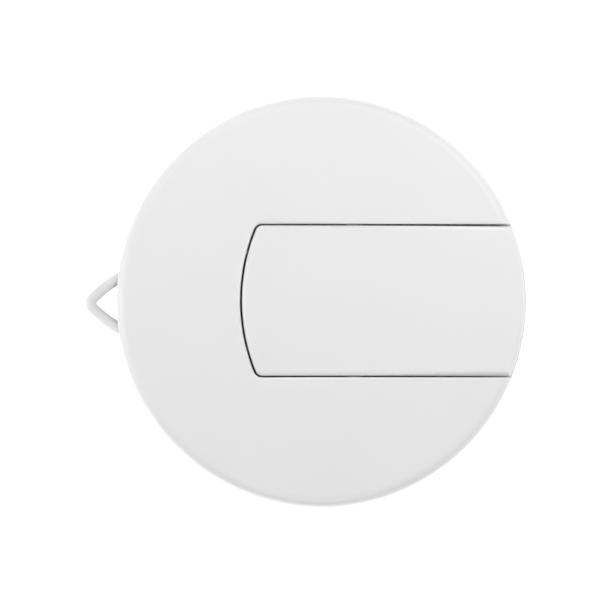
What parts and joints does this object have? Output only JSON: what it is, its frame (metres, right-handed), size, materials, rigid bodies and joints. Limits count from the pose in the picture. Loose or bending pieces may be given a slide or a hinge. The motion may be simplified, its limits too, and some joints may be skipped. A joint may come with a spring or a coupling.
{
  "type": "pull cord switch",
  "caption": "Round surface-mounted switch with a tongue-shaped rocking key in its domed face and a small pull eye at one edge for a cord.",
  "frame": {"origin": "centre of the flat back face, midway between the two wall-screw slots", "axes": "+Z out of the wall through the domed face; -X the way the cord pulls, which is down in use; +Y across, along the line of the wall screws"},
  "size_m": [0.0862, 0.08, 0.0309],
  "materials": {
    "white_base": "fine mould texture, satin",
    "white_cover": "fine mould texture, satin",
    "white_key": "fine mould texture, satin",
    "white_stirrup": "smooth, satin",
    "zinc_steel": "bright zinc plate",
    "bright_steel": "ground",
    "spring_steel": "drawn wire",
    "grey_fibre": "matt pressed fibre",
    "moulded_black": "moulded, semi-matt",
    "moulded_grey": "moulded, semi-matt",
    "natural_nylon": "moulded, semi-matt",
    "brass": "machined",
    "silver_alloy": "rolled",
    "tinned_copper": "stamped"
  },
  "bodies": {
    "housing": {"base_housing": "white_base", "front_cover": "white_cover", "cover_screws": "zinc_steel", "insulating_plate": "grey_fibre", "switch_body": "moulded_black", "body_screws": "zinc_steel", "common_terminal": "brass", "terminal_one": "brass", "terminal_two": "brass", "terminal_screws": "zinc_steel", "fixed_contacts": "silver_alloy", "bearing_frame": "moulded_grey", "retainer_plate": "zinc_steel", "retainer_screws": "zinc_steel", "return_spring_left": "spring_steel", "return_spring_right": "spring_steel"},
    "rocker": {"rocker_key": "white_key"},
    "toggle": {"toggle": "natural_nylon", "plunger_spring": "spring_steel"},
    "plunger": {"plunger": "natural_nylon"},
    "bridge": {"contact_bridge": "tinned_copper", "moving_contacts": "silver_alloy"},
    "stirrup": {"pull_stirrup": "white_stirrup", "pawl_pin": "bright_steel"},
    "pawl": {"pawl": "natural_nylon"}
  },
  "joints": [
    {"name": "rocker_tilt", "type": "hinge", "parent": "housing", "child": "rocker", "pos_m": [0.0064, 0, 0.0262], "axis": [0, 1, 0], "range_deg": [-4.4, 0]},
    {"name": "toggle_rock", "type": "hinge", "parent": "housing", "child": "toggle", "pos_m": [0.0064, 0, 0.0157], "axis": [0, 1, 0], "range_deg": [0, 16]},
    {"name": "bridge_rock", "type": "hinge", "parent": "housing", "child": "bridge", "pos_m": [0.0064, 0, 0.00685], "axis": [0, 1, 0], "range_deg": [-14, 0]},
    {"name": "plunger_slide", "type": "slide", "parent": "toggle", "child": "plunger", "axis": [-0.1392, 0, 0.9903], "range_m": [0, 0.0009], "stiffness_N_per_m": 300, "springref_m": -0.002, "deforming": ["plunger_spring"]},
    {"name": "cord_pull", "type": "slide", "parent": "housing", "child": "stirrup", "axis": [-1, 0, 0], "range_m": [0, 0.005], "stiffness_N_per_m": 350, "springref_m": -0.003, "deforming": ["return_spring_left", "return_spring_right"]},
    {"name": "pawl_swing", "type": "hinge", "parent": "stirrup", "child": "pawl", "pos_m": [0.02351, 0, 0.0157], "axis": [0, 1, 0], "range_deg": [-40.3, 0]}
  ],
  "couplings": [
    {"joint": "toggle_rock", "follows": "rocker_tilt", "ratio": -3.6363},
    {"joint": "bridge_rock", "follows": "rocker_tilt", "ratio": 3.1818},
    {"joint": "pawl_swing", "follows": "rocker_tilt", "ratio": 9.1503}
  ]
}
